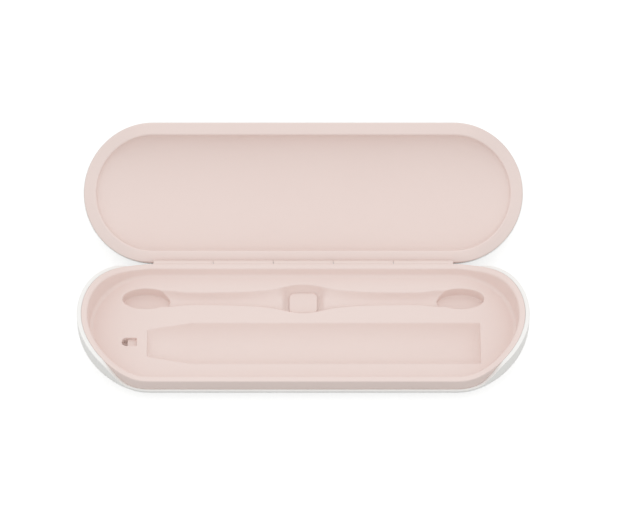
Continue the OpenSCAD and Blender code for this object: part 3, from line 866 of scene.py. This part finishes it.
def build_pocket(side, groove_row):
    """The pocket on one side. Returns its back and front outline, from the groove outwards."""
    corner = abs(groove_row[0].co.x) - POCKET_X
    start = math.atan2((groove_row[0].co.y - SLOT_Y) / POCKET_B, corner / POCKET_A)
    outline = []
    for i in range(1, POCKET_STEPS):
        a = start * (1 - 2 * i / POCKET_STEPS)
        outline.append(tray.verts.new((side * (POCKET_X + POCKET_A * math.cos(a)),
                                       SLOT_Y + POCKET_B * math.sin(a), TRAY)))
    # From the back corner round the outer end to the front corner, then back across the groove
    upper = [groove_row[0]] + outline + groove_row[:0:-1]
    lower = []
    for vert in upper:
        x = side * POCKET_X + FOOT_SHARE_X * (vert.co.x - side * POCKET_X)
        y = SLOT_Y + FOOT_SHARE_Y * (vert.co.y - SLOT_Y)
        lower.append(tray.verts.new((x, y, TRAY - POCKET_DEPTH)))
    if side < 0:
        tray_strip(lower, upper)
        tray.faces.new(lower)
    else:
        tray_strip(upper, lower)
        tray.faces.new(lower[::-1])
    middle = len(outline) // 2
    back = [groove_row[0]] + outline[:middle + 1]
    front = [groove_row[-1]] + outline[:middle - 1:-1]
    return back, front, lower, groove_row


left_back, left_front, left_foot, left_gate = build_pocket(-1, groove_rows[0])
right_back, right_front, right_foot, right_gate = build_pocket(1, groove_rows[-1])
slot_back = left_back[:0:-1] + groove_back + right_back[1:]
slot_front = left_front[:0:-1] + groove_front + right_front[1:]
print("slot outline:", len(slot_back), "points at the back,", len(slot_front), "in front")

# %% [markdown]
# The small slot has a half-round left end and two levels: a shallow step on the right and a
# deeper well on the left. What it holds isn't known, so it stays a plain blind recess.

# %% The small slot
SMALL_LEFT, SMALL_RIGHT = -99.7, -91.5
SMALL_Y, SMALL_HALF = -9.2, 2.6
SMALL_STEP_X = SMALL_LEFT + 3.2
SMALL_STEP, SMALL_WELL = 2.0, 5.0


def small_outline(side):
    """Points from the left end to the right end, along the back (1) or the front (-1)."""
    plan = arc(SMALL_LEFT + SMALL_HALF, 0, SMALL_HALF, 180, 90, 10)
    plan += [(SMALL_STEP_X, SMALL_HALF), (SMALL_RIGHT - 0.4, SMALL_HALF)]
    plan += arc(SMALL_RIGHT - 0.4, SMALL_HALF - 0.4, 0.4, 90, 0, 3)[1:]
    plan.append((SMALL_RIGHT, 0.0))
    return [(x, SMALL_Y + side * y, TRAY) for x, y in plan]


back_points, front_points = small_outline(1), small_outline(-1)
small_left = tray.verts.new(back_points[0])
small_right = tray.verts.new(back_points[-1])
small_back = [small_left] + tray_ring(back_points[1:-1]) + [small_right]
small_front = [small_left] + tray_ring(front_points[1:-1]) + [small_right]
step_at = next(i for i, p in enumerate(back_points) if p[0] == SMALL_STEP_X)


def lowered(verts, depth):
    return tray_ring([(v.co.x, v.co.y, TRAY - depth) for v in verts])


# Clockwise from above, so the faces look inwards
well_upper = small_front[step_at::-1] + small_back[1:step_at + 1]
step_upper = small_back[step_at:] + small_front[-2:step_at - 1:-1]
well_foot = lowered(well_upper, SMALL_WELL)
step_foot = lowered(step_upper, SMALL_STEP)
for i in range(1, len(well_upper) - 2):
    tray.faces.new((well_upper[i], well_foot[i], well_foot[i + 1], well_upper[i + 1]))
for i in range(len(step_upper) - 1):
    tray.faces.new((step_upper[i], step_foot[i], step_foot[i + 1], step_upper[i + 1]))
tray.faces.new((well_upper[0], step_foot[-1], well_foot[0], well_foot[1], well_upper[1]))
tray.faces.new((well_upper[-2], well_foot[-2], well_foot[-1], step_foot[0], well_upper[-1]))
tray.faces.new((step_foot[0], well_foot[-1], well_foot[0], step_foot[-1]))
tray.faces.new(well_foot[::-1])
tray.faces.new(step_foot[::-1])
print("small slot:", len(small_back) + len(small_front) - 2, "points round")


# %% The floor between the recesses
def nearest_on_edge(x, y):
    """Number of the floor edge's point that is nearest to a place."""
    return min(range(len(floor_edge)),
               key=lambda i: (floor_edge[i].co.x - x) ** 2 + (floor_edge[i].co.y - y) ** 2)


def edge_run(start, end):
    """The floor edge's points from one number to another, counterclockwise."""
    count = (end - start) % len(floor_edge)
    return [floor_edge[(start + i) % len(floor_edge)] for i in range(count + 1)]


FAR = 120                               # beyond the tray's ends
slot_right = nearest_on_edge(FAR, SLOT_Y)
slot_left = nearest_on_edge(-FAR, SLOT_Y)
trough_at_right = nearest_on_edge(FAR, TROUGH_Y)
small_at_left = nearest_on_edge(-FAR, SMALL_Y)
back_floor = edge_run(slot_right, slot_left) + slot_back
middle_floor = (edge_run(slot_left, small_at_left) + small_back
                + [trough_mid_left] + trough_back + [trough_mid_right]
                + edge_run(trough_at_right, slot_right) + slot_front[::-1])
front_floor = (edge_run(small_at_left, trough_at_right) + [trough_mid_right]
               + trough_front[::-1] + [trough_mid_left] + small_front[::-1])
for outline in (back_floor, middle_floor, front_floor):
    tray.faces.new(outline)
print("floor faces:", [len(f) for f in (back_floor, middle_floor, front_floor)], "points")

# %% Which edges are rounded, and by how much
for outline in (slot_back, slot_front):
    mark_round(outline, 0.6, closed=False)
trough_rim = ([trough_mid_left] + trough_back + [trough_mid_right] + trough_front[::-1])
mark_round(trough_rim, 0.6)
for gate, foot in ((left_gate, left_foot), (right_gate, right_foot)):
    mark_round(gate, 0.4, closed=False)
    mark_round(foot, 0.9)
for outline in (small_back, small_front):
    mark_round(outline, 0.3, closed=False)
mark_round(well_foot, 0.4)
mark_round(step_foot, 0.3)
top_points = len(tray.verts)
tray_mesh = mesh_from(tray, "tray_moulding")
print("tray's upper side:", top_points, "points")

# %% [markdown]
# The upper side becomes a moulding with a wall all over. Solidify copies it inwards, so the
# underside follows the recesses as the real one's does. The copy takes the marks along, and they
# are cleared there, because the inside of a rounding must not be rounded again.

# %% The tray's wall and its rounded edges
TRAY_SKIN = 1.4
tray_object = new_object("tray_moulding", tray_mesh)
wall = tray_object.modifiers.new("wall", "SOLIDIFY")
wall.thickness = TRAY_SKIN
wall.offset = -1
wall.use_even_offset = True
walled = applied(tray_object)
tray_object.modifiers.clear()
tray_object.data = walled
weights = walled.attributes["bevel_weight_edge"].data
for edge in walled.edges:
    if max(edge.vertices) >= top_points:
        weights[edge.index].value = 0.0
for face in walled.polygons:
    face.use_smooth = True

rounding = tray_object.modifiers.new("rounding", "BEVEL")
rounding.limit_method = "WEIGHT"
rounding.offset_type = "OFFSET"
rounding.width = FULL_ROUND
rounding.segments = 4
rounding.use_clamp_overlap = False
settle_normals(tray_object)
finish_piece(tray_object, "base", "base_tray", finish=lining_abs)

# %% [markdown]
# ## The divider
#
# A low block with rounded corners stands in the middle of the slot and keeps the two brush heads
# apart. It is a stack of rounded rectangles, drawn in a little towards the top.

# %% The divider
DIVIDER_HALF_X, DIVIDER_HALF_Y = 7.8, 6.7
DIVIDER_FOOT, DIVIDER_TOP = 5.2, 7.2
DIVIDER_CORNER, DIVIDER_EDGE = 3.0, 0.8


def rounded_rectangle(inset, z):
    radius = DIVIDER_CORNER - inset
    points = []
    for sx, sy, start in ((1, 1, 0), (-1, 1, 90), (-1, -1, 180), (1, -1, 270)):
        cx, cy = sx * (DIVIDER_HALF_X - DIVIDER_CORNER), sy * (DIVIDER_HALF_Y - DIVIDER_CORNER)
        points += [(x, SLOT_Y + y, z) for x, y in arc(cx, cy, radius, start, start + 90, 10)]
    return points


block = bmesh.new()
levels = [(0.0, DIVIDER_FOOT)] + [
    (DIVIDER_EDGE * (1 - math.cos(a)), DIVIDER_TOP - DIVIDER_EDGE * (1 - math.sin(a)))
    for a in [math.radians(15 * i) for i in range(7)]]
stack = [[block.verts.new(p) for p in rounded_rectangle(inset, z)] for inset, z in levels]
for lower, upper in zip(stack, stack[1:]):
    for i in range(len(lower)):
        j = (i + 1) % len(lower)
        block.faces.new((lower[i], lower[j], upper[j], upper[i]))
block.faces.new(stack[0][::-1])
block.faces.new(stack[-1])
shade_smooth(block, 50)
divider = new_object("divider_block", mesh_from(block, "divider_block"))
settle_normals(divider)
finish_piece(divider, "base", "brush_divider", finish=lining_abs)

# %% [markdown]
# ## The hinge
#
# Two leaves with long knuckles mesh along the back, and a steel pin runs through them. A knuckle
# is one outline drawn out along the pin, and it repeats at an even pitch, so Geometry Nodes fill
# the outline, draw it out and set a row of copies. The same tree makes the strips between the
# knuckles from another outline.

# %% The tree that sets a row of drawn-out outlines
def build_row_tree():
    tree, given = new_tree("row_along_the_pin", "Outline", (
        ("Count", "Int", None), ("Pitch", "Float", None), ("Length", "Float", None),
        ("Finish", "Material", None)), "Row")

    # The outline lies in X and Y. It is filled, drawn out upwards, and then laid along X.
    loops = add_node(tree, "GeometryNodeMeshToCurve", inputs={0: given["Outline"]})
    face = add_node(tree, "GeometryNodeFillCurve", {"mode": "NGONS"}, {0: loops.outputs[0]})
    up = add_node(tree, "ShaderNodeCombineXYZ", inputs={"Z": given["Length"]})
    drawn = add_node(tree, "GeometryNodeExtrudeMesh", {"mode": "FACES"}, {
        "Mesh": face.outputs[0], "Offset": up.outputs[0], "Offset Scale": 1.0, "Individual": False})
    cap = add_node(tree, "GeometryNodeFlipFaces", inputs={0: face.outputs[0]})
    both = add_node(tree, "GeometryNodeJoinGeometry")
    tree.links.new(drawn.outputs["Mesh"], both.inputs[0])
    tree.links.new(cap.outputs[0], both.inputs[0])
    solid = add_node(tree, "GeometryNodeMergeByDistance",
                     inputs={"Geometry": both.outputs[0], "Distance": 0.001})
    back = calc(tree, "MULTIPLY", given["Length"], -0.5)
    half_back = add_node(tree, "ShaderNodeCombineXYZ", inputs={"X": back})
    laid = add_node(tree, "GeometryNodeTransform", inputs={
        "Geometry": solid.outputs[0], "Translation": half_back.outputs[0],
        "Rotation": (math.pi / 2, 0, math.pi / 2)})

    # The row is centred on the middle of the case
    gaps = calc(tree, "SUBTRACT", given["Count"], 1.0)
    span = calc(tree, "MULTIPLY", gaps, given["Pitch"])
    first = calc(tree, "MULTIPLY", span, -0.5)
    first_place = add_node(tree, "ShaderNodeCombineXYZ", inputs={"X": first})
    pitch = add_node(tree, "ShaderNodeCombineXYZ", inputs={"X": given["Pitch"]})
    places = add_node(tree, "GeometryNodeMeshLine", {"mode": "OFFSET"}, {
        "Count": given["Count"], "Start Location": first_place.outputs[0],
        "Offset": pitch.outputs[0]})
    copies = add_node(tree, "GeometryNodeInstanceOnPoints",
                      inputs={"Points": places.outputs[0], "Instance": laid.outputs[0]})
    end_tree(tree, copies.outputs[0], given["Finish"])
    return tree


row_tree = build_row_tree()
print("row tree:", len(row_tree.nodes), "nodes")

# %% The hinge's sizes and outlines
HINGE_LENGTH = 166.0
KNUCKLES = 5
KNUCKLE_GAP = 0.3
BARREL = 1.9
BASE_BORE, LID_BORE = 0.77, 0.8         # the pin sits tight in the base's knuckles
BORE_STEPS = 48
KNUCKLE = (HINGE_LENGTH - (KNUCKLES - 1) * KNUCKLE_GAP) / KNUCKLES
PITCH = 2 * (KNUCKLE + KNUCKLE_GAP)     # a leaf has every second knuckle
leaf_face = LIP - axis_y
leaf_foot = EDGE_Z - axis_z + 0.2
lid_face = LID_LIP - axis_y
lid_top = LID_RIM - axis_z + 2.4


def circle_angle(y, radius=BARREL):
    """Angle in degrees, on the barrel, of the upper point at a distance y from the pin."""
    return math.degrees(math.acos(y / radius))


base_knuckle = (arc(0, 0, BARREL, 360 - circle_angle(leaf_face), -circle_angle(0.42), 40)
                + [(0.42, -2.23), (1.55, -3.97), (1.2, leaf_foot), (leaf_face, leaf_foot)])
base_strip = [(leaf_face, leaf_foot), (leaf_face + 0.8, leaf_foot),
              (leaf_face + 0.8, leaf_foot + 1.8), (leaf_face, leaf_foot + 1.8)]
lid_knuckle = (arc(0, 0, BARREL, circle_angle(1.6), circle_angle(lid_face) - 360, 40)
               + [(lid_face, lid_top), (1.0, lid_top), (1.6, lid_top - 0.6)])
lid_strip = [(lid_face, LID_RIM - axis_z + 0.3), (lid_face + 1, LID_RIM - axis_z + 0.3),
             (lid_face + 1, lid_top), (lid_face, lid_top)]
print("a knuckle is", round(KNUCKLE, 2), "mm long")


# %% Building the leaves
def row_of(name, loops, count, pitch, length):
    """A row of drawn-out outlines along the pin, in the place of the closed case."""
    points, edges = [], []
    for loop in loops:
        start = len(points)
        points += [(y, z, 0) for y, z in loop]
        edges += [(start + i, start + (i + 1) % len(loop)) for i in range(len(loop))]
    mesh = bpy.data.meshes.new(name)
    mesh.from_pydata(points, edges, [])
    obj = new_object(name, mesh)
    modifier = obj.modifiers.new("row", "NODES")
    modifier.node_group = row_tree
    set_inputs(modifier, {"Count": count, "Pitch": pitch, "Length": length, "Finish": hinge_abs})
    edge_round = obj.modifiers.new("edges", "BEVEL")
    edge_round.limit_method = "ANGLE"
    edge_round.angle_limit = math.radians(40)
    edge_round.width = 0.15
    edge_round.segments = 2
    return obj


def hinge_leaf(name, knuckle, strip, knuckles, bore, body, node_name, on_lid=False):
    """A leaf: its knuckles, and strips in the places between them."""
    bore_loop = arc(0, 0, bore, 0, 360 - 360 / BORE_STEPS, BORE_STEPS - 1)
    rows = [row_of(name, [knuckle, bore_loop], knuckles, PITCH, KNUCKLE),
            row_of(name + "_strip", [strip], KNUCKLES - knuckles, PITCH, PITCH - KNUCKLE)]
    leaf = bmesh.new()
    for row in rows:
        leaf.from_mesh(applied(row))
        bpy.data.objects.remove(row)
    bmesh.ops.translate(leaf, verts=leaf.verts, vec=(0, axis_y, axis_z))
    shade_smooth(leaf, 35)
    obj = new_object(name, mesh_from(leaf, name))
    settle_normals(obj)
    finish_piece(obj, body, node_name, on_lid=on_lid, finish=hinge_abs)


hinge_leaf("base_leaf", base_knuckle, base_strip, 3, BASE_BORE, "base", "base_hinge_leaf")
hinge_leaf("lid_leaf", lid_knuckle, lid_strip, 2, LID_BORE, "lid", "lid_hinge_leaf", on_lid=True)
